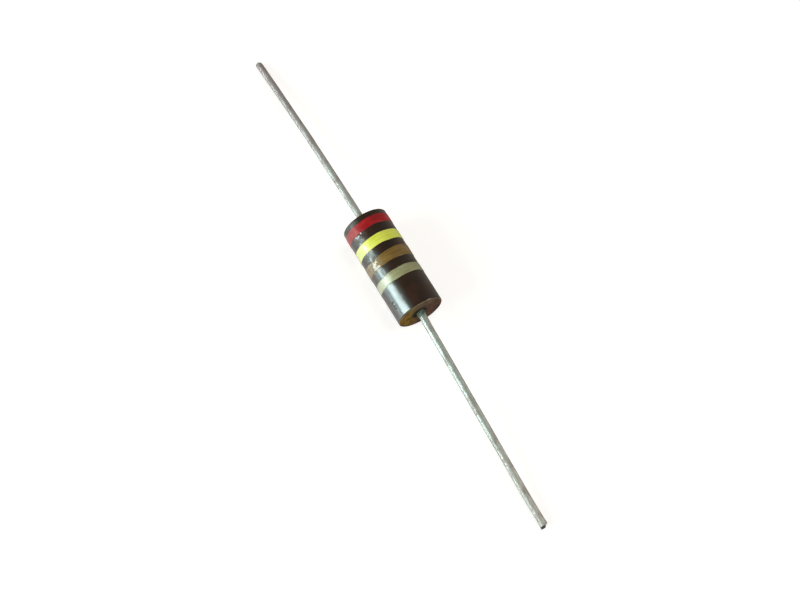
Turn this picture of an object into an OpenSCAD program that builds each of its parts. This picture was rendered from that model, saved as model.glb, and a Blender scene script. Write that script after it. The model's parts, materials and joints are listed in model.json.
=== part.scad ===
// Two-watt moulded carbon-composition resistor with axial wire leads.
// It lies on its paint bands and on the tips of its leads, which droop to the surface below:
// +X runs along the body from the banded end to the plain end, +Z is up, and the origin is
// on that surface, under the middle of the body.

/* [Moulded body] */
// Length of the moulded body from end face to end face
body_len = 18.2; // [14:0.1:30]
// Diameter of the moulded body under the paint
body_d = 7.9; // [6:0.1:12]
// Radius that rounds the corner around each end face
corner_r = 0.35; // [0.1:0.05:0.6]
// Diameter of the shallow dish around each lead
dish_d = 2.6; // [1.8:0.1:4]
// Depth of the dish at its middle
dish_depth = 0.35; // [0.1:0.05:0.6]

/* [Carbon element] */
// Diameter of the carbon rod inside the body
element_d = 3.2; // [2.6:0.1:4.5]
// Thickness of the moulding between each end of the carbon rod and the end face
end_wall = 2.9; // [1.5:0.1:4]

/* [Leads] */
// Diameter of the lead wire
lead_d = 1.14; // [0.8:0.01:1.5]
// Length of each lead outside the body, measured along the wire
lead_len = 38.6; // [36:0.1:60]
// Diameter of the upset head on the inner end of each lead
head_d = 1.9; // [1.6:0.1:2.2]
// Thickness of the upset head
head_h = 0.6; // [0.3:0.1:1]
// Depth to which the carbon rod holds each lead, head included
grip = 2.8; // [1.5:0.1:4]
// Radius of the bends, to the middle of the wire
bend_r = 40; // [20:5:60]
// Straight run of each lead from the end face to the bend that takes it down to the surface
root_run = 1.8; // [1:0.1:6]
// Direction of the banded end's first bend: 90 is straight down and 0 is level, towards -Y
banded_lean = 95; // [60:1:120]
// Direction of the plain end's first bend, counted the same way
plain_lean = 79; // [60:1:120]
// Straight runs of the banded end's lead before each of its later bends
banded_runs = [13.6, 12.2]; // [1:0.1:20]
// Later bends of the banded end's lead in degrees, level and towards -Y
banded_bends = [1, 0.9]; // [0.3:0.01:4]

/* [Snipped tip] */
// Width of the nib that the cutter left on the plain end's lead
nib_w = 0.5; // [0.3:0.05:0.7]
// Angle between the cutter's bevel and a square cut
bevel_angle = 48; // [20:1:60]

/* [Paint bands] */
// Distance from the banded end face to the middle of the first band
first_band_at = 1.78; // [1.5:0.01:2.5]
// Distance between the middles of neighbouring bands
band_pitch = 3.34; // [2.5:0.02:3.4]
// Widths of the four bands, from the banded end
band_w = [1.6, 1.8, 1.9, 1.6]; // [1:0.05:2.2]
// Thickness of the paint
paint_t = 0.05; // [0.02:0.01:0.1]

/* [Hidden] */

$fn = 96;
// Fragments of a whole turn for a bend, fine enough for its few degrees
BEND_FN = 1440;
// Share of a bend that each of its two sweeps covers; over a half, so that they lap
SWEEP_SHARE = 0.75;
// Reach of a cut past the material it takes away
CUT = 1;

BODY_COLOR = "#2c221e";
CARBON_COLOR = "#1b1b1c";
LEAD_COLOR = "#9a9d98";
BAND_COLORS = ["#a01e23", "#c8d750", "#7d6132", "#96986a"];

half_len = body_len / 2;
axis_z = body_d / 2 + paint_t;
element_len = body_len - 2 * end_wall;
dish_sphere_r = (pow(dish_d / 2, 2) + pow(dish_depth, 2)) / (2 * dish_depth);
// Length of lead inside the body, from the head's outer side to the end face
buried = end_wall + grip - head_h;

function sum(list, i = 0) = i < len(list) ? list[i] + sum(list, i + 1) : 0;
// Length of wire in a bend of this many degrees
function arc(angle) = bend_r * angle * PI / 180;

// The bend that takes a wire aside by `reach` over an arc and the straight run after it
function bend_reaching(reach, run) =
    atan2(bend_r, run) + asin((reach - bend_r) / norm([bend_r, run]));

// The first bend of a lead, which leaves the underside of its tip on the surface. The arc
// takes its own length from the run after it, so the angle is closed in on by a few passes.
function settling_bend(lean, angle = 0, passes = 5) =
    passes == 0 ? angle : settling_bend(
        lean,
        bend_reaching((axis_z - lead_d / 2 * cos(angle)) / sin(lean), lead_len - root_run - arc(angle)),
        passes - 1
    );

// Each bend of a lead as its angle, its direction and the straight run after it
function bend_list(lean, angles, runs) =
    let (
        all_angles = concat(settling_bend(lean), angles),
        used = sum(runs) + sum([for (angle = all_angles) arc(angle)]),
        all_runs = concat(runs, lead_len - root_run - used)
    )
    [for (i = [0 : len(all_angles) - 1]) [all_angles[i], i == 0 ? lean : 0, all_runs[i]]];

BANDED_END = bend_list(banded_lean, banded_bends, banded_runs);
PLAIN_END = bend_list(plain_lean, [], []);

// Puts a shape drawn on the origin onto the body's axis
module on_axis() {
    translate([0, 0, axis_z]) children();
}

// A round bar along +X from the origin
module bar(d, length) {
    rotate([0, 90, 0]) cylinder(d = d, h = length);
}

// The frame of a wire after a bend towards -Y that starts at the origin
module turned(angle) {
    translate([0, -bend_r, 0]) rotate([0, 0, -angle]) translate([0, bend_r, 0]) children();
}

// Wire swept towards -Y through an angle, starting along +X at the origin
module sweep(angle) {
    translate([0, -bend_r, 0])
        rotate([180, 0, -90])
            rotate_extrude(angle = angle, $fn = BEND_FN)
                translate([-bend_r, 0]) circle(d = lead_d, $fn = 96);
}

// A whole bend, swept from the runs on both sides of it so that each meets it squarely
module bend(angle, lean) {
    rotate([lean, 0, 0]) {
        sweep(SWEEP_SHARE * angle);
        turned(angle) mirror([1, 0, 0]) sweep(SWEEP_SHARE * angle);
    }
}

// The frame of a wire's next run, level again after a bend in any direction
module after_bend(angle, lean) {
    rotate([lean, 0, 0]) turned(angle) rotate([-lean, 0, 0]) children();
}

// The rest of a wire from bend i on
module bent_wire(bends, i = 0) {
    bend(bends[i][0], bends[i][1]);
    after_bend(bends[i][0], bends[i][1]) {
        bar(lead_d, bends[i][2]);
        if (i + 1 < len(bends))
            translate([bends[i][2], 0, 0]) bent_wire(bends, i + 1);
    }
}

// The part of a lead that the body and the carbon rod hold, out to its first bend.
// It points along +X and its head ends at the origin.
module lead_root(first_run) {
    translate([-head_h, 0, 0]) bar(head_d, head_h);
    bar(lead_d, buried + first_run);
}

module lead(bends) {
    translate([half_len - buried, 0, 0]) lead_root(root_run);
    translate([half_len + root_run, 0, 0]) bent_wire(bends);
}

// What the snip took off the +Y side of a lead's tip, which would end at the origin
module snip() {
    translate([0, lead_d / 2 - (lead_d - nib_w), 0])
        rotate([0, 0, bevel_angle])
            translate([0, -CUT, -CUT]) cube([2 * CUT, 3 * CUT, 2 * CUT]);
}

// Places a shape at the end of a wire whose bend i starts at the origin
module at_tip(bends, i = 0) {
    after_bend(bends[i][0], bends[i][1])
        translate([bends[i][2], 0, 0])
            if (i + 1 < len(bends)) {
                at_tip(bends, i + 1) children();
            } else {
                children();
            }
}

module paint_band(i) {
    middle = first_band_at + i * band_pitch - half_len;
    color(BAND_COLORS[i])
        on_axis()
            translate([middle - band_w[i] / 2, 0, 0])
                difference() {
                    bar(body_d + 2 * paint_t, band_w[i]);
                    translate([-CUT, 0, 0]) bar(body_d, band_w[i] + 2 * CUT);
                }
}

// Half of the body's outline, turned about the axis to make the moulding
module body_outline() {
    square([body_d / 2 - corner_r, half_len]);
    square([body_d / 2, half_len - corner_r]);
    translate([body_d / 2 - corner_r, half_len - corner_r]) circle(r = corner_r);
}

module half_body() {
    rotate([0, 90, 0])
        difference() {
            rotate_extrude() intersection() {
                body_outline();
                square([body_d, body_len]);
            }
            translate([0, 0, half_len - dish_depth + dish_sphere_r]) sphere(r = dish_sphere_r);
        }
}

module moulded_body() {
    color(BODY_COLOR)
        on_axis()
            difference() {
                union() {
                    half_body();
                    mirror([1, 0, 0]) half_body();
                }
                translate([-element_len / 2, 0, 0]) bar(element_d, element_len);
                translate([-half_len - CUT, 0, 0]) bar(lead_d, body_len + 2 * CUT);
            }
}

module carbon_element() {
    color(CARBON_COLOR)
        on_axis()
            difference() {
                translate([-element_len / 2, 0, 0]) bar(element_d, element_len);
                for (side = [0, 1])
                    mirror([side, 0, 0])
                        translate([half_len - buried, 0, 0]) lead_root(0);
            }
}

module banded_end_lead() {
    color(LEAD_COLOR) on_axis() mirror([1, 0, 0]) lead(BANDED_END);
}

module plain_end_lead() {
    color(LEAD_COLOR)
        on_axis()
            difference() {
                lead(PLAIN_END);
                translate([half_len + root_run, 0, 0]) at_tip(PLAIN_END) snip();
            }
}

module first_digit_band() { paint_band(0); }
module second_digit_band() { paint_band(1); }
module multiplier_band() { paint_band(2); }
module tolerance_band() { paint_band(3); }

moulded_body();
carbon_element();
banded_end_lead();
plain_end_lead();
first_digit_band();
second_digit_band();
multiplier_band();
tolerance_band();
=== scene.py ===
import json
from math import cos, pi, radians, sin, tan

import bpy
import numpy as np
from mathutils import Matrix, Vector


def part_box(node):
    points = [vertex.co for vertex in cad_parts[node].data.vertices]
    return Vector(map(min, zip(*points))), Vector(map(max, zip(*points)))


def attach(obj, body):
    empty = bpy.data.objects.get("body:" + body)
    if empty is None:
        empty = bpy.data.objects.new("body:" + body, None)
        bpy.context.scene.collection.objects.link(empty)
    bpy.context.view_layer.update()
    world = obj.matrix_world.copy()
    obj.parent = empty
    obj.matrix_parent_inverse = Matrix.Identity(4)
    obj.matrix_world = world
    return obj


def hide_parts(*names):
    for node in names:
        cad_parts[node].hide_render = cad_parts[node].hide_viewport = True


# A moulded axial resistor. Finer meshes of its jacket, paint bands and leads take the places of
# their CAD nodes. Then come the floor, the lamps and the camera.

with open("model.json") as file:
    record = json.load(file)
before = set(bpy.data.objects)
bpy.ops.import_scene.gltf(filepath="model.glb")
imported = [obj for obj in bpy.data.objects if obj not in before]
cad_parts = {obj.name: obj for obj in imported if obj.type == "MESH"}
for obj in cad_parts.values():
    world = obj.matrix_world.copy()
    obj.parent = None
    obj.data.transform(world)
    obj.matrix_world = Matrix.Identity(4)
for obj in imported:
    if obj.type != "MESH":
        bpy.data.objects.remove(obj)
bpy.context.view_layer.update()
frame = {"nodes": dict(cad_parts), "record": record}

# Shapes are worked out in millimetres and become metres where a mesh is made.
MM = 0.001


# ---------------------------------------------------------------- sizes from the frame

def span(node):
    """A CAD node's lowest and highest corner, in millimetres."""
    low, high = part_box(node)
    return np.array(low) / MM, np.array(high) / MM


body_low, body_high = span("moulded_body")
HALF_LEN = body_high[0]
BODY_R = (body_high[1] - body_low[1]) / 2
AXIS_Z = (body_high[2] + body_low[2]) / 2
LEADS = {mount["name"].removesuffix("_tip"): mount for mount in frame["record"]["mounts"]}
LEAD_R = LEADS["plain_end_lead"]["dims"]["r_mm"]

# Corner around each end face, and the dish that the lead comes out of
CORNER_R = 0.22
DISH_R = 1.3
DISH_DEPTH = 0.35
# Lacquer that has climbed each lead thickens it by this much at its root, and ends this far out
ROOT_SWELL = 0.10
ROOT_REACH = 1.1

# Points round the body and its bands, and round a lead
AROUND = 320
LEAD_AROUND = 64
# Rings across the top of a band, and along a lead
BAND_RINGS = 33
LEAD_RINGS = 400
# A ring of points starts at the bottom, where its seam is hidden
RING = np.linspace(-pi / 2, 1.5 * pi, AROUND, endpoint=False)
LEAD_RING = np.linspace(-pi / 2, 1.5 * pi, LEAD_AROUND, endpoint=False)


# ---------------------------------------------------------------- shared mesh tools

def ripple(points, wavelength, seed, waves=28):
    """A smooth random field of about unit size at each point, whose bumps are this far apart."""
    random = np.random.RandomState(seed)
    headings = random.normal(size=(waves, 3))
    headings *= 2 * pi / wavelength / np.linalg.norm(headings, axis=1, keepdims=True)
    phases = random.uniform(0, 2 * pi, waves)
    return np.sin(points @ headings.T + phases).sum(-1) * (2 / waves) ** 0.5


def wobble(angles, seed, lobes=range(2, 10)):
    """A smooth random line round a circle, of about unit size."""
    random = np.random.RandomState(seed)
    shares = [random.normal() * np.sin(n * angles + random.uniform(0, 2 * pi)) for n in lobes]
    return sum(shares) / len(lobes) ** 0.5


def bell(distance, radius):
    """1 in the middle of a bump and almost nothing past its radius."""
    return np.exp(-3 * (distance / radius) ** 2)


def skin(name, rings, loop=False, caps=()):
    """Skins equal rings of points, in millimetres, into one smooth closed mesh.
    A loop joins the last ring to the first; otherwise caps holds the point that closes each end."""
    count, around = rings.shape[:2]
    points = np.concatenate([rings.reshape(-1, 3), np.array(caps).reshape(-1, 3)]) * MM
    turn = np.arange(around)
    following = (turn + 1) % around
    faces = []
    for i in range(count if loop else count - 1):
        here = i * around
        there = (i + 1) % count * around
        faces += zip(here + turn, here + following, there + following, there + turn)
    if caps:
        last = (count - 1) * around
        first_cap = count * around
        faces += [(first_cap, b, a) for a, b in zip(turn, following)]
        faces += [(first_cap + 1, last + a, last + b) for a, b in zip(turn, following)]
    mesh = bpy.data.meshes.new(name)
    mesh.from_pydata(points.tolist(), [], [tuple(int(v) for v in face) for face in faces])
    mesh.polygons.foreach_set("use_smooth", [True] * len(mesh.polygons))
    mesh.update()
    piece = bpy.data.objects.new(name, mesh)
    bpy.context.scene.collection.objects.link(piece)
    return piece


def finish_piece(piece, node, slot, *materials, strips=()):
    """Gives a piece its materials and puts it in the place of a CAD node.
    Strips holds the number of the material between each ring of points and the next."""
    for material in materials:
        piece.data.materials.append(material)
    if len(strips):
        around = len(piece.data.polygons) // (len(strips) + 2)
        numbers = np.repeat([*strips, strips[0], strips[-1]], around)
        piece.data.polygons.foreach_set("material_index", numbers)
    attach(piece, "root")
    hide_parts(node)


# ---------------------------------------------------------------- the lacquered surface

# The lacquer's broad waves and its orange peel: how far apart they are and how high
WAVE_SPACING = 3.4
WAVE_HEIGHT = 0.005
PEEL_SPACING = 1
PEEL_HEIGHT = 0.001
# The orange peel is higher by this much on the banded half, up to PEEL_END along the body, where
# it drops over a few times PEEL_FADE
EXTRA_PEEL = 0.002
PEEL_END = 0.6
PEEL_FADE = 0.5
# Blisters in the lacquer: place along the body, degrees round it from +Y over +Z, radius, height
BLISTERS = [
    (-7.45, 157, 0.34, 0.062), (-7.05, 149, 0.32, 0.056), (-6.66, 157, 0.30, 0.052),
    (-6.60, 144, 0.30, 0.050), (-6.40, 132, 0.28, 0.042), (-6.55, 121, 0.26, 0.034),
    (-1.35, 147, 0.25, 0.044), (-1.00, 132, 0.25, 0.032), (-0.70, 144, 0.25, 0.040),
    (-0.05, 146, 0.25, 0.040), (-0.15, 128, 0.25, 0.032),
    (6.40, 151, 0.42, 0.086), (7.00, 150, 0.42, 0.082), (8.30, 141, 0.34, 0.026),
]


def lacquer(x, angles):
    """How far the lacquer stands proud of the true cylinder, in millimetres.
    It is smooth towards the plain end and has an orange-peel surface on the banded half."""
    points = np.stack([x, BODY_R * np.cos(angles), BODY_R * np.sin(angles)], -1)
    banded = 1 / (1 + np.exp((x - PEEL_END) / PEEL_FADE))
    peel_height = PEEL_HEIGHT + EXTRA_PEEL * banded
    height = WAVE_HEIGHT * ripple(points, WAVE_SPACING, 1) + peel_height * ripple(points, PEEL_SPACING, 2)
    for along, degrees, radius, rise in BLISTERS:
        offset = np.hypot(x - along, BODY_R * (angles - radians(degrees)))
        height += rise * bell(offset, radius)
    return height


def around_axis(x, radius):
    """Points round the body's axis at these places along it and radii."""
    return np.stack([x, radius * np.cos(RING), AXIS_Z + radius * np.sin(RING)], -1)


def turned(profile):
    """Rings round the body's axis, from an outline of places along it and radii there.
    The lacquer's lumps fade out across the end faces."""
    radius = profile[:, 1:] + np.zeros_like(RING)
    x = profile[:, :1] + np.zeros_like(radius)
    lumps = lacquer(x, RING + np.zeros_like(radius))
    radius = radius + lumps * np.clip((radius - DISH_R) / (BODY_R - DISH_R), 0, 1)
    return around_axis(x, radius)


def arc_points(middle, radius, start, end, count):
    """Points of an arc between two angles in degrees."""
    angles = np.radians(np.linspace(start, end, count))
    return np.stack([middle[0] + radius * np.cos(angles), middle[1] + radius * np.sin(angles)], -1)


def end_profile():
    """Half the body's outline, from its middle out to the lead, as place along the axis and radius.
    Its second value tells which points are on the bare end face."""
    # The points are closer together where there are blisters
    stations = np.concatenate([
        np.arange(0, 3.2, 0.07),
        np.arange(3.2, 6, 0.14),
        np.arange(6, 8, 0.07),
        np.linspace(8, HALF_LEN - CORNER_R, 8),
    ])
    barrel = np.stack([stations, np.full_like(stations, BODY_R)], -1)
    corner = arc_points((HALF_LEN - CORNER_R, BODY_R - CORNER_R), CORNER_R, 90, 0, 13)[1:]
    face_r = np.linspace(BODY_R - CORNER_R, DISH_R, 22)[1:]
    face = np.stack([np.full_like(face_r, HALF_LEN), face_r], -1)
    dish_r = np.linspace(DISH_R, LEAD_R - 0.1, 9)[1:]
    dish = np.stack([HALF_LEN - DISH_DEPTH * (1 - (dish_r / DISH_R) ** 2), dish_r], -1)
    profile = np.concatenate([barrel, corner, face, dish])
    # The lacquer ends a third of the way round the corner
    return profile, np.arange(len(profile)) >= len(barrel) + len(corner) // 3


def make_body():
    half, bare = end_profile()
    profile = np.concatenate([half[:0:-1] * (-1, 1), half])
    bare = np.concatenate([bare[:0:-1], bare]).astype(int)
    reach = profile[-1, 0]
    caps = [(-reach, 0, AXIS_Z), (reach, 0, AXIS_Z)]
    body = skin("moulded_body_lacquered", turned(profile), caps=caps)
    strips = np.minimum(bare[1:], bare[:-1])
    finish_piece(body, "moulded_body", "phenolic", body_finish(), end_face_finish(), strips=strips)


# ---------------------------------------------------------------- paint bands

# How far a band's edge strays from a true circle, and how far its paint tapers off
EDGE_STRAY = 0.035
TAPER = 0.09
# How much lower than the CAD's the paint lies, which leaves room for the lacquer's waves,
# and how deep its underside is sunk into the body
WAVE_ROOM = 0.004
KEYED_IN = 0.12
# How far the brown band's left edge leans to and fro
BROWN_LEAN = 0.17


def make_band(node, seed, lean=0):
    """A band of paint with rounded, slightly uneven edges, keyed into the body under it.
    Its left edge leans by this much, furthest to the left on the body's upper +Y side and
    opposite that."""
    low, high = span(node)
    paint_r = (high[1] - low[1]) / 2
    left = low[0] + EDGE_STRAY * wobble(RING, seed)
    left = left - lean * np.cos(2 * (RING - radians(40)))
    right = high[0] + EDGE_STRAY * wobble(RING, seed + 50)
    # Across the band, from 0 at its left edge to 1 at its right
    across = np.linspace(0, 1, BAND_RINGS)[:, None]
    x = left + (right - left) * across
    inset = np.minimum(x - left, right - x)
    rise = (paint_r - BODY_R) * np.sqrt(1 - np.clip(1 - inset / TAPER, 0, 1) ** 2)
    top_r = BODY_R + rise - WAVE_ROOM + lacquer(x, RING + np.zeros_like(x))
    under_x = np.stack([right, left])
    x = np.concatenate([x, under_x])
    radius = np.concatenate([top_r, np.full_like(under_x, BODY_R - KEYED_IN)])
    return skin(node + "_paint", around_axis(x, radius), loop=True)


# ---------------------------------------------------------------- leads

# Nicks and flats that pliers and handling left: place from the end face along the lead,
# degrees round it from +Y over +Z, length, depth; a burr has a depth below zero
NICKS = {
    "plain_end_lead": [
        (3.2, 120, 0.9, 0.018), (6.8, 128, 0.7, 0.028), (9.6, 116, 0.8, 0.022),
        (13.2, 135, 1.1, 0.016), (17.5, 124, 0.6, 0.020), (22.4, 112, 0.9, 0.018),
        (27.1, 131, 0.7, 0.018), (31.8, 122, 1.0, 0.016), (35.6, 128, 0.6, 0.022),
        (38.3, 15, 0.8, -0.06),
    ],
    "banded_end_lead": [
        (2.8, 124, 0.8, 0.018), (8.5, 132, 0.9, 0.018), (14.6, 121, 0.7, 0.020),
        (19.2, 130, 1.0, 0.016), (25.3, 126, 0.8, 0.022), (30.6, 118, 0.7, 0.016),
        (34.9, 133, 0.9, 0.018),
    ],
}
# How far each lead strays towards -Y, in the middle of its length and at its tip
STRAY = {"plain_end_lead": (0.15, 0.06), "banded_end_lead": (0.04, 0)}
# How much wider each wire is than high, on each side
OVAL = {"plain_end_lead": 0.045, "banded_end_lead": 0.02}
# The unevenness left by drawing the wire: how far apart its waves are, and how high
DRAWN_WAVES = ((4.2, 0.0035), (1.3, 0.0015))
# A lead's line is averaged over this many rings each way, which rounds its kinks
KINK_ROUNDING = 12
# The plain end's lead was snipped with a bevel from its +Y side, which left a nib
NIB_W = 0.56
BEVEL = tan(radians(38))
BEVEL_HOLLOW = 0.7
# How far the edge of the banded end's cut is rounded back, and how far the cut's middle lies
# behind its -Y side
CUT_ROUNDING = 0.34
CUT_LEAN = 0.08
# How far the torn metal of each cut reaches back along the wire, and how long a stretch of the
# wire is drawn back to meet its cut
CUT_REACH = 0.42
DRAWN_BACK = 2
# The rings of a cut face, as shares of the wire's radius
CUT_RINGS = (0.93, 0.8, 0.62, 0.44, 0.26, 0.1)
# How far inside the end face a lead's mesh starts
BURIED = 0.6
# Nicks are longer along the wire than round it
NICK_STRETCH = 0.6


def section_middle(corners, edges, x):
    """The middle of a CAD lead's cross-section at this place, from the edges that cross it."""
    start, end = corners[edges[:, 0]], corners[edges[:, 1]]
    crossed = (start[:, 0] - x) * (end[:, 0] - x) < 0
    start, end = start[crossed], end[crossed]
    share = (x - start[:, :1]) / (end[:, :1] - start[:, :1])
    ring = start + share * (end - start)
    return (ring.min(0) + ring.max(0)) / 2


def centre_line(node, side):
    """The CAD lead's centre line with its stray, from inside the body to the tip, resampled evenly.
    The second value is the length along it from the end face."""
    mesh = frame["nodes"][node].data
    corners = np.array([v.co for v in mesh.vertices]) / MM
    edges = np.array([e.vertices for e in mesh.edges])
    mount = LEADS[node]
    heading = np.array(mount["axis"])
    tip = np.array(mount["pos_m"]) / MM + heading * mount["dims"]["length_mm"] / 2
    # The wire is straight by the end face and at its tip. Between them it follows the CAD's, whose
    # middle is looked up every half millimetre
    stations = np.arange(HALF_LEN + 1.9, abs(tip[0]) - 1.5, 0.5)
    middles = [section_middle(corners, edges, side * x) for x in stations]
    root = [(side * x, 0, AXIS_Z) for x in np.arange(HALF_LEN - BURIED, HALF_LEN + 1.6, 0.5)]
    line = np.array([*root, *middles, tip - heading, tip])
    length = np.concatenate([[0], np.cumsum(np.linalg.norm(np.diff(line, axis=0), axis=1))])
    even = np.linspace(0, length[-1], LEAD_RINGS)
    line = np.stack([np.interp(even, length, line[:, i]) for i in range(3)], -1)
    along = even - BURIED
    middle, end = STRAY[node]
    # The stray grows over the first 3 mm, and from 6 to 1 mm before the tip it becomes the tip's
    line[:, 1] -= np.interp(along, (0, 3, along[-1] - 6, along[-1] - 1), (0, middle, middle, end))
    return smoothed(line, KINK_ROUNDING), along


def smoothed(line, reach):
    """A line with each point averaged with its neighbours; its ends stay where they are."""
    weights = bell(np.arange(-reach, reach + 1), reach)
    weights /= weights.sum()
    ahead = 2 * line[-1] - line[-2:-reach - 2:-1]
    behind = 2 * line[0] - line[reach:0:-1]
    padded = np.concatenate([behind, line, ahead])
    return np.stack([np.convolve(padded[:, i], weights, "valid") for i in range(3)], -1)


def make_lead(node, side, seed, tip_depth, materials):
    """A lead on the +X side (1) or the -X side (-1), whose cut is given by its depth at each point."""
    line, along = centre_line(node, side)
    forward = np.gradient(line, axis=0)
    forward /= np.linalg.norm(forward, axis=1, keepdims=True)
    across = np.cross((0, 0, 1), forward) * side
    across /= np.linalg.norm(across, axis=1, keepdims=True)
    upward = np.cross(forward, across) * side
    cosines, sines = np.cos(LEAD_RING), np.sin(LEAD_RING)
    outward = across[:, None] * cosines[:, None] + upward[:, None] * sines[:, None]
    radius = LEAD_R + OVAL[node] * cosines ** 2 + np.zeros((len(line), 1))
    surface = line[:, None] + outward * LEAD_R
    for layer, (spacing, height) in enumerate(DRAWN_WAVES):
        radius += height * ripple(surface, spacing, seed + layer)
    radius += ROOT_SWELL * bell(np.maximum(along, 0), ROOT_REACH)[:, None]
    for place, degrees, length, depth in NICKS[node]:
        round_offset = LEAD_R * (LEAD_RING - radians(degrees))
        offset = np.hypot((along[:, None] - place) * NICK_STRETCH, round_offset)
        radius -= depth * bell(offset, length / 2)
    stretch = np.clip(1 - (along[-1] - along) / DRAWN_BACK, 0, 1)[:, None]
    back = tip_depth(LEAD_R * cosines, LEAD_R * sines) * stretch
    rings = line[:, None] + outward * radius[..., None] - forward[:, None] * back[..., None]
    cut = []
    for share in CUT_RINGS:
        spread = share * radius[-1]
        back = tip_depth(spread * cosines, spread * sines)
        cut.append(line[-1] + outward[-1] * spread[:, None] - forward[-1] * back[:, None])
    rings = np.concatenate([rings, np.array(cut)])
    middle = line[-1] - forward[-1] * tip_depth(0, 0)
    # Towards -X the rings are taken the other way round, so that the faces still point outward
    piece = skin(node + "_wire", rings[:, ::side], caps=[line[0], middle])
    strips = np.append(along, np.full(len(cut), along[-1]))[:-1] > along[-1] - CUT_REACH
    finish_piece(piece, node, "tinned_copper", *materials, strips=strips.astype(int))


def snipped(y, _z):
    """How far the snip's bevel and nib lie behind the tip of the plain end's lead."""
    width = 2 * LEAD_R - NIB_W
    share = np.clip((y - LEAD_R + width) / width, 0, 1)
    return BEVEL * width * (share + BEVEL_HOLLOW * share * (1 - share))


def rounded(y, z):
    """How far the rounded cut lies behind the tip of the banded end's lead."""
    distance = np.hypot(y, z) / LEAD_R
    return CUT_ROUNDING * distance ** 3 + CUT_LEAN * (1 + y / LEAD_R)


# ---------------------------------------------------------------- materials

class Nodes:
    """A new material's node tree, with short calls for the nodes that the finishes use."""

    def __init__(self, name):
        self.material = bpy.data.materials.new(name)
        self.material.use_nodes = True
        self.tree = self.material.node_tree
        self.shader = self.tree.nodes["Principled BSDF"]
        self.place = self.tree.nodes.new("ShaderNodeTexCoord").outputs["Object"]

    def link(self, output, target):
        self.tree.links.new(output, target)

    def stretched(self, scale):
        """The place on the object, scaled along each axis."""
        mapping = self.tree.nodes.new("ShaderNodeMapping")
        mapping.inputs["Scale"].default_value = scale
        self.link(self.place, mapping.inputs["Vector"])
        return mapping.outputs["Vector"]

    def noise(self, scale, stretch=(1, 1, 1), detail=4, roughness=0.55):
        """Noise of this many bumps a millimetre."""
        node = self.tree.nodes.new("ShaderNodeTexNoise")
        node.inputs["Scale"].default_value = scale / MM
        node.inputs["Detail"].default_value = detail
        node.inputs["Roughness"].default_value = roughness
        self.link(self.stretched(stretch), node.inputs["Vector"])
        return node.outputs["Fac"]

    def ramp(self, value, *stops):
        """Colours by value; each stop is a place from 0 to 1 and a colour or a grey."""
        node = self.tree.nodes.new("ShaderNodeValToRGB")
        elements = node.color_ramp.elements
        while len(elements) < len(stops):
            elements.new(1)
        for element, (place, colour) in zip(elements, stops):
            element.position = place
            element.color = (*colour, 1) if isinstance(colour, tuple) else (colour, colour, colour, 1)
        self.link(value, node.inputs["Fac"])
        return node.outputs["Color"]

    def mix(self, factor, first, second):
        """Two colours mixed by a factor; either may be a constant."""
        node = self.tree.nodes.new("ShaderNodeMix")
        node.data_type = "RGBA"
        for value, target in zip((factor, first, second), (0, 6, 7)):
            if isinstance(value, bpy.types.NodeSocket):
                self.link(value, node.inputs[target])
            else:
                node.inputs[target].default_value = value if target == 0 else (*value, 1)
        return node.outputs[2]

    def maths(self, operation, *values):
        node = self.tree.nodes.new("ShaderNodeMath")
        node.operation = operation
        for value, target in zip(values, node.inputs):
            if isinstance(value, bpy.types.NodeSocket):
                self.link(value, target)
            else:
                target.default_value = value
        return node.outputs[0]

    def distance(self, first, second):
        """How far a point lies from where both of these offsets are 0."""
        squares = self.maths("POWER", first, 2), self.maths("POWER", second, 2)
        return self.maths("SQRT", self.maths("ADD", *squares))

    def step(self, value, low, high):
        """0 below low, 1 above high and smooth between."""
        node = self.tree.nodes.new("ShaderNodeMapRange")
        node.interpolation_type = "SMOOTHSTEP"
        self.link(value, node.inputs["Value"])
        node.inputs["From Min"].default_value = low
        node.inputs["From Max"].default_value = high
        return node.outputs["Result"]

    def axis(self, letter):
        """One coordinate of the place on the object, in metres."""
        node = self.tree.nodes.new("ShaderNodeSeparateXYZ")
        self.link(self.place, node.inputs["Vector"])
        return node.outputs[letter]

    def bump(self, height, depth):
        """Bumps of this depth in millimetres."""
        node = self.tree.nodes.new("ShaderNodeBump")
        node.inputs["Distance"].default_value = depth * MM
        self.link(height, node.inputs["Height"])
        self.link(node.outputs["Normal"], self.shader.inputs["Normal"])

    def set(self, **inputs):
        """Sets the shader's sockets, either to a constant or from another node."""
        for name, value in inputs.items():
            target = self.shader.inputs[name.replace("_", " ").title().replace("Ior", "IOR")]
            if isinstance(value, bpy.types.NodeSocket):
                self.link(value, target)
            else:
                target.default_value = value


def srgb(red, green, blue):
    """A colour given as 0 to 255 on a screen, in the renderer's linear terms."""
    return tuple(((value / 255 + 0.055) / 1.055) ** 2.4 for value in (red, green, blue))


def body_finish():
    """Dark brown moulded phenolic under gloss lacquer."""
    n = Nodes("lacquered_phenolic")
    mottle = n.noise(0.35, detail=5)
    n.set(
        base_color=n.ramp(
            mottle, (0.3, srgb(28, 19, 12)), (0.52, srgb(38, 25, 15)), (0.72, srgb(52, 28, 18))
        ),
        roughness=n.ramp(n.noise(0.9), (0.3, 0.34), (0.7, 0.44)),
        specular_ior_level=0.25,
        coat_weight=0.8,
        coat_roughness=0.1,
    )
    n.bump(n.noise(4.5, detail=3), 0.003)
    return n.material


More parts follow.
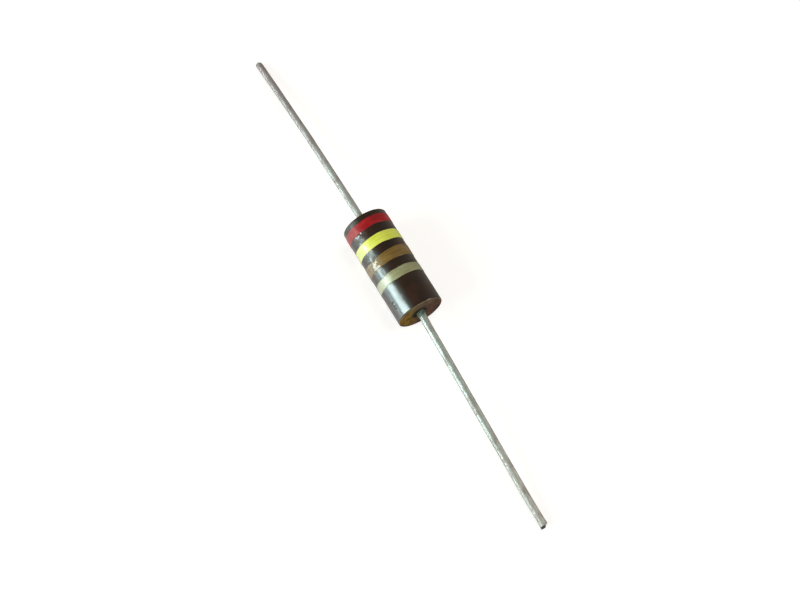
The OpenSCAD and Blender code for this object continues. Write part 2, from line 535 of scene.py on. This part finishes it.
def end_face_finish():
    """Bare moulded phenolic in mottled browns, with a painted golden reflection on its -Y side, a painted
    shadow round the lead and a painted highlight on its upper rim.
    """
    n = Nodes("bare_phenolic")
    y, z = n.axis("Y"), n.axis("Z")
    height = n.maths("SUBTRACT", z, AXIS_Z * MM)
    grain = n.noise(1.1, detail=6, roughness=0.7)
    fine = n.noise(3.2, detail=4, roughness=0.7)
    patches = n.noise(0.8, detail=3)
    reflection_noise = n.noise(0.9, detail=3)
    brown = n.ramp(
        patches, (0.38, srgb(92, 70, 62)), (0.46, srgb(112, 86, 76)),
        (0.54, srgb(128, 82, 62)), (0.64, srgb(122, 112, 90))
    )
    # Colours of the painted golden reflection on the -Y side
    golden_reflection = n.ramp(
        reflection_noise, (0.36, srgb(112, 80, 30)), (0.46, srgb(156, 110, 30)),
        (0.56, srgb(158, 138, 32)), (0.66, srgb(128, 122, 62))
    )
    # Painted golden reflection of lit surroundings on the -Y side, up to a ragged line
    ragged = n.maths("ADD", n.maths("MULTIPLY", y, -1), n.maths("MULTIPLY", grain, 2.4 * MM))
    reflection_mask = n.step(ragged, 1.3 * MM, 3.2 * MM)
    # Painted shadow round the lead, reaching up and towards -Y
    from_lead_shadow = n.distance(n.maths("ADD", y, 0.35 * MM), n.maths("SUBTRACT", height, 0.4 * MM))
    lead_shadow = n.maths("SUBTRACT", from_lead_shadow, n.maths("MULTIPLY", grain, 1.0 * MM))
    # A painted highlight along the upper rim; the lower rim is darker
    ragged_radius = n.maths("ADD", n.distance(y, height), n.maths("MULTIPLY", fine, 0.2 * MM))
    rim_highlight = n.step(ragged_radius, (BODY_R - 0.08) * MM, (BODY_R - 0.02) * MM)
    rim_highlight = n.maths("MULTIPLY", rim_highlight, n.step(height, -2.4 * MM, -0.6 * MM))
    rim_highlight = n.maths("MULTIPLY", rim_highlight, n.ramp(patches, (0.4, 0.25), (0.55, 1.0)))
    # The painted golden reflection is laid over the browns
    colour = n.mix(reflection_mask, brown, golden_reflection)
    colour = n.mix(n.ramp(fine, (0.4, 0.2), (0.55, 0.0)), colour, srgb(48, 38, 28))
    # Lighter towards the top of the face
    upper = n.step(height, 1.0 * MM, 3.0 * MM)
    colour = n.mix(n.maths("MULTIPLY", upper, 0.4), colour, srgb(124, 118, 92))
    # Painted shadow round the lead
    colour = n.mix(n.step(lead_shadow, 0.5 * MM, 1.3 * MM), srgb(40, 32, 30), colour)
    # Darker along the lower rim
    outer = n.step(ragged_radius, (BODY_R - 0.5) * MM, BODY_R * MM)
    lower = n.maths("MULTIPLY", outer, n.step(n.maths("MULTIPLY", height, -1), -0.5 * MM, 1.5 * MM))
    colour = n.mix(n.maths("MULTIPLY", lower, 0.8), colour, srgb(70, 42, 38))
    # Painted highlight on the upper rim
    colour = n.mix(rim_highlight, colour, srgb(144, 130, 104))
    n.set(
        base_color=colour,
        roughness=n.ramp(grain, (0.3, 0.5), (0.7, 0.72)),
        specular_ior_level=0.12,
    )
    n.bump(fine, 0.02)
    return n.material


def paint_finish(name, colours, sheen_colour, sheen_share, coat, coat_roughness, specular):
    """Gloss band paint with faint streaks from the wheel that laid it on.
    Colours holds its deepest, middle and palest colour. Towards -Y it is mixed towards a paler colour by
    a given share, a painted sheen of the light from that side."""
    n = Nodes(name)
    streaks = n.noise(1.6, stretch=(2.2, 0.25, 0.25), detail=5)
    patches = n.noise(0.5, detail=3)
    blend = n.maths("ADD", n.maths("MULTIPLY", streaks, 0.6), n.maths("MULTIPLY", patches, 0.4))
    paint = n.ramp(blend, *zip((0.36, 0.5, 0.64), [srgb(*colour) for colour in colours]))
    # Painted sheen: the paint turns paler towards -Y, where the light comes from
    window_sheen = n.step(n.maths("MULTIPLY", n.axis("Y"), -1), 2.0 * MM, 3.8 * MM)
    n.set(
        base_color=n.mix(n.maths("MULTIPLY", window_sheen, sheen_share), paint, srgb(*sheen_colour)),
        roughness=n.ramp(patches, (0.3, 0.34), (0.7, 0.44)),
        specular_ior_level=specular,
        coat_weight=coat,
        coat_roughness=coat_roughness,
    )
    n.bump(streaks, 0.006)
    return n.material


# The length over which the wires' colour and shine change, from tip to tip
TIP_TO_TIP = 96


def wire_finish():
    """Dull tinned copper with drawing marks and darker spots, under old lacquer at its root."""
    n = Nodes("tinned_wire")
    marks = n.noise(1.5, stretch=(0.12, 3, 3), detail=4)
    blotches = n.noise(0.7, stretch=(0.6, 1, 1), detail=5, roughness=0.65)
    x = n.axis("X")
    # From 0 at the banded end's tip to 1 at the plain end's
    along = n.maths("ADD", n.maths("MULTIPLY", x, 1 / (TIP_TO_TIP * MM)), 0.5)
    tin = n.ramp(
        along, (0.0, srgb(166, 153, 154)), (0.1, srgb(166, 159, 160)), (0.3, srgb(182, 184, 181)),
        (0.7, srgb(178, 188, 181)), (0.84, srgb(184, 188, 182)), (0.92, srgb(187, 185, 179))
    )
    tin = n.mix(n.ramp(blotches, (0.4, 0.6), (0.52, 0.0)), tin, srgb(142, 132, 126))
    tin = n.mix(n.ramp(blotches, (0.52, 0.0), (0.64, 0.4)), tin, srgb(158, 168, 156))
    tin = n.mix(n.ramp(marks, (0.45, 0.0), (0.62, 0.4)), tin, srgb(140, 142, 136))
    ragged = n.maths("ADD", n.maths("ABSOLUTE", x), n.maths("MULTIPLY", n.noise(1.6), 0.5 * MM))
    bare = n.step(ragged, (HALF_LEN + 0.7) * MM, (HALF_LEN + 1.4) * MM)
    root = n.ramp(n.noise(2), (0.38, srgb(74, 98, 88)), (0.6, srgb(140, 162, 148)))
    shine = n.ramp(along, (0.4, 1.0), (0.62, 0.77), (0.8, 0.8), (0.92, 1.0))
    dull = n.maths("MULTIPLY", shine, n.ramp(blotches, (0.38, 0.68), (0.6, 0.54)))
    n.set(
        base_color=n.mix(bare, root, tin),
        metallic=n.ramp(bare, (0.0, 0.2), (1.0, 0.55)),
        roughness=n.maths("MULTIPLY", dull, n.ramp(bare, (0.0, 0.5), (1.0, 1.0))),
    )
    n.bump(n.maths("ADD", marks, blotches), 0.01)
    return n.material


def cut_finish():
    """Torn metal where the cutters went through, darkest on the plain end's nib."""
    n = Nodes("cut_wire_end")
    torn = n.noise(5, detail=5, roughness=0.7)
    sheared = n.ramp(
        torn, (0.35, srgb(128, 128, 125)), (0.55, srgb(158, 157, 152)), (0.7, srgb(176, 168, 160))
    )
    nib = n.ramp(torn, (0.35, srgb(38, 38, 38)), (0.55, srgb(58, 58, 57)), (0.7, srgb(84, 78, 72)))
    n.set(
        base_color=n.mix(n.step(n.axis("Y"), -0.8 * MM, -0.6 * MM), nib, sheared),
        metallic=0.4,
        roughness=0.6,
    )
    n.bump(torn, 0.03)
    return n.material


def carbon_finish():
    """Matt black carbon and resin."""
    n = Nodes("carbon_and_resin")
    specks = n.noise(3, detail=6, roughness=0.7)
    n.set(
        base_color=n.ramp(specks, (0.35, srgb(20, 20, 21)), (0.65, srgb(38, 38, 40))),
        roughness=n.ramp(specks, (0.3, 0.7), (0.7, 0.9)),
    )
    n.bump(specks, 0.02)
    return n.material


# ---------------------------------------------------------------- the object

def make_object():
    make_body()
    red = (131, 20, 27), (153, 26, 32), (169, 40, 42)
    yellow = (200, 213, 62), (210, 220, 80), (218, 228, 100)
    brown = (98, 77, 30), (114, 90, 38), (126, 103, 52)
    pale_gold = (124, 130, 90), (140, 143, 104), (156, 158, 120)
    # Colours of the painted sheen towards -Y
    sheened_red, cream = (150, 90, 88), (236, 236, 216)
    finishes = {
        "first_digit_band": ("red_paint", {
            "colours": red, "sheen_colour": sheened_red, "sheen_share": 0.5,
            "coat": 0.35, "coat_roughness": 0.1, "specular": 0.12,
        }),
        "second_digit_band": ("yellow_paint", {
            "colours": yellow, "sheen_colour": cream, "sheen_share": 0.3,
            "coat": 0.8, "coat_roughness": 0.12, "specular": 0.3,
        }),
        "multiplier_band": ("brown_paint", {
            "colours": brown, "sheen_colour": cream, "sheen_share": 0.05,
            "coat": 0.8, "coat_roughness": 0.1, "specular": 0.25,
        }),
        "tolerance_band": ("pale_gold_paint", {
            "colours": pale_gold, "sheen_colour": cream, "sheen_share": 0.2,
            "coat": 0.8, "coat_roughness": 0.26, "specular": 0.5,
        }),
    }
    for seed, (node, (slot, look)) in enumerate(finishes.items(), 10):
        band = make_band(node, seed, lean=BROWN_LEAN if node == "multiplier_band" else 0)
        finish_piece(band, node, slot, paint_finish(slot + "_finish", **look))
    metals = (wire_finish(), cut_finish())
    make_lead("plain_end_lead", 1, 21, snipped, metals)
    make_lead("banded_end_lead", -1, 31, rounded, metals)
    core = frame["nodes"]["carbon_element"]
    core.data.materials.clear()
    core.data.materials.append(carbon_finish())


# ---------------------------------------------------------------- floor, light and camera

# Added to the floor's own colour where it is seen, so that it reads as white
FLOOR_GLOW = 0.74
# Added where gloss mirrors it, on the window's side of the object
MIRRORED_GLOW = 0.5
# How far the floor reaches each way, in metres, and how far under the object it lies, in millimetres
FLOOR_REACH = 2.5
FLOOR_DROP = 0.01


def make_floor():
    """A plain pale floor that reaches past the view."""
    mesh = bpy.data.meshes.new("floor")
    corners = (-1, -1), (1, -1), (1, 1), (-1, 1)
    points = [(x * FLOOR_REACH, y * FLOOR_REACH, -FLOOR_DROP * MM) for x, y in corners]
    mesh.from_pydata(points, [], [(0, 1, 2, 3)])
    floor = bpy.data.objects.new("floor", mesh)
    bpy.context.scene.collection.objects.link(floor)
    n = Nodes("pale_floor")
    rays = n.tree.nodes.new("ShaderNodeLightPath").outputs
    seen = n.maths("MAXIMUM", rays["Is Camera Ray"], rays["Is Transmission Ray"])
    glow = n.maths("MULTIPLY", seen, FLOOR_GLOW)
    window_side = n.step(n.maths("MULTIPLY", n.axis("Y"), -1), -2 * MM, 8 * MM)
    mirrored = n.maths("MULTIPLY", rays["Is Glossy Ray"], MIRRORED_GLOW)
    mirrored = n.maths("MULTIPLY", mirrored, window_side)
    n.set(
        base_color=(0.385, 0.37, 0.345, 1),
        roughness=0.28,
        emission_color=(1, 1, 1, 1),
        emission_strength=n.maths("MAXIMUM", glow, mirrored),
    )
    mesh.materials.append(n.material)


def area_light(name, centre, aim, size, radiance, colour, shows_as):
    """A rectangular lamp whose power follows from its radiance and size, in metres.
    It shows either as "light" on the surfaces or as a "reflection" in their gloss."""
    lamp = bpy.data.lights.new(name, "AREA")
    lamp.shape = "RECTANGLE"
    lamp.size, lamp.size_y = size
    lamp.energy = radiance * pi * size[0] * size[1]
    lamp.color = colour
    lamp_object = bpy.data.objects.new(name, lamp)
    lamp_object.location = centre
    lamp_object.rotation_euler = (Vector(aim) - Vector(centre)).to_track_quat("-Z", "Y").to_euler()
    lamp_object.visible_glossy = shows_as == "reflection"
    lamp_object.visible_diffuse = shows_as == "light"
    bpy.context.scene.collection.objects.link(lamp_object)


# Where the window's wall and the wall behind the object stand
WINDOW_Y = -0.44
BACK_Y = 0.44


def pane(name, left, right, low, high, radiance, colour, y=WINDOW_Y):
    """An upright rectangle that shows in the gloss only: its sides' places along X, its edges'
    heights and its radiance."""
    centre = ((left + right) / 2, y, (low + high) / 2)
    aim = (centre[0], 0, centre[2])
    area_light(name, centre, aim, (right - left, high - low), radiance, colour, "reflection")


def make_lights():
    """A window on the -Y side with a curtain and walls round it and a window behind, which show
    in the gloss, and the light of the window and of a soft ceiling."""
    pane("window", -0.178, -0.09, 0.09, 0.46, 24, (0.8, 1.0, 0.99))
    pane("window_foot", -0.178, -0.09, 0.02, 0.09, 17, (0.7, 0.98, 1.0))
    pane("window_head", -0.25, -0.05, 0.46, 0.58, 1.9, (0.6, 1.0, 0.85))
    pane("wall_above", -0.35, 0.0, 0.58, 0.90, 0.4, (0.7, 1.0, 0.9))
    pane("sash", -0.20, -0.178, 0.25, 0.46, 12, (0.8, 1.0, 0.97))
    pane("curtain", -0.21, -0.178, 0.016, 0.25, 2.8, (0.78, 1.0, 0.91))
    pane("wall", -0.8, -0.21, 0.016, 0.25, 1.2, (1.0, 1.0, 0.97))
    pane("back_window", 0.05, 0.45, 0.15, 0.40, 4, (1.0, 0.98, 0.94), y=BACK_Y)
    origin = (0, 0, 0)
    window = (-0.1, -0.75, 0.34)
    area_light("window_light", window, origin, (0.6, 0.5), 7.8, (0.95, 1.0, 1.0), "light")
    ceiling = (0.1, 0.42, 0.6)
    area_light("ceiling", ceiling, origin, (0.8, 0.8), 1.95, (1.0, 0.95, 0.89), "light")


def make_world():
    """A dim room, brightest and warmest along its horizon, which the camera sees as plain white."""
    world = bpy.data.worlds.new("room")
    world.use_nodes = True
    tree = world.node_tree
    place = tree.nodes.new("ShaderNodeTexCoord").outputs["Generated"]
    direction = tree.nodes.new("ShaderNodeSeparateXYZ")
    tree.links.new(place, direction.inputs["Vector"])
    ramp = tree.nodes.new("ShaderNodeValToRGB")
    stops = (0.0, (0.45, 0.38, 0.3)), (0.25, (0.26, 0.23, 0.19)), (0.9, (0.15, 0.135, 0.12))
    ramp.color_ramp.elements.new(0.5)
    for element, (at, colour) in zip(ramp.color_ramp.elements, stops):
        element.position = at
        element.color = (*colour, 1)
    tree.links.new(direction.outputs["Z"], ramp.inputs["Fac"])
    backdrop = tree.nodes.new("ShaderNodeMix")
    backdrop.data_type = "RGBA"
    backdrop.inputs[7].default_value = (1, 1, 1, 1)
    rays = tree.nodes.new("ShaderNodeLightPath").outputs
    tree.links.new(rays["Is Camera Ray"], backdrop.inputs[0])
    tree.links.new(ramp.outputs["Color"], backdrop.inputs[6])
    tree.links.new(backdrop.outputs[2], tree.nodes["Background"].inputs["Color"])
    bpy.context.scene.world = world


def make_camera():
    """The camera looks down on the resistor, whose plain end points to the lower right."""
    azimuth, elevation, distance = radians(59.92), radians(67.66), 0.1917
    aim = Vector((5.56, -1.77, AXIS_Z)) * MM
    # From the aim towards the camera
    back = Vector((sin(azimuth) * cos(elevation), -cos(azimuth) * cos(elevation), sin(elevation)))
    camera = bpy.data.objects.new("camera", bpy.data.cameras.new("camera"))
    camera.data.sensor_width = 36
    camera.data.lens = 54
    camera.data.clip_start = 0.01
    camera.location = aim + back * distance
    camera.rotation_euler = back.to_track_quat("Z", "Y").to_euler()
    bpy.context.scene.collection.objects.link(camera)
    bpy.context.scene.camera = camera


make_camera()
make_object()
make_floor()
make_lights()
make_world()
bpy.context.scene.view_settings.view_transform = "Standard"
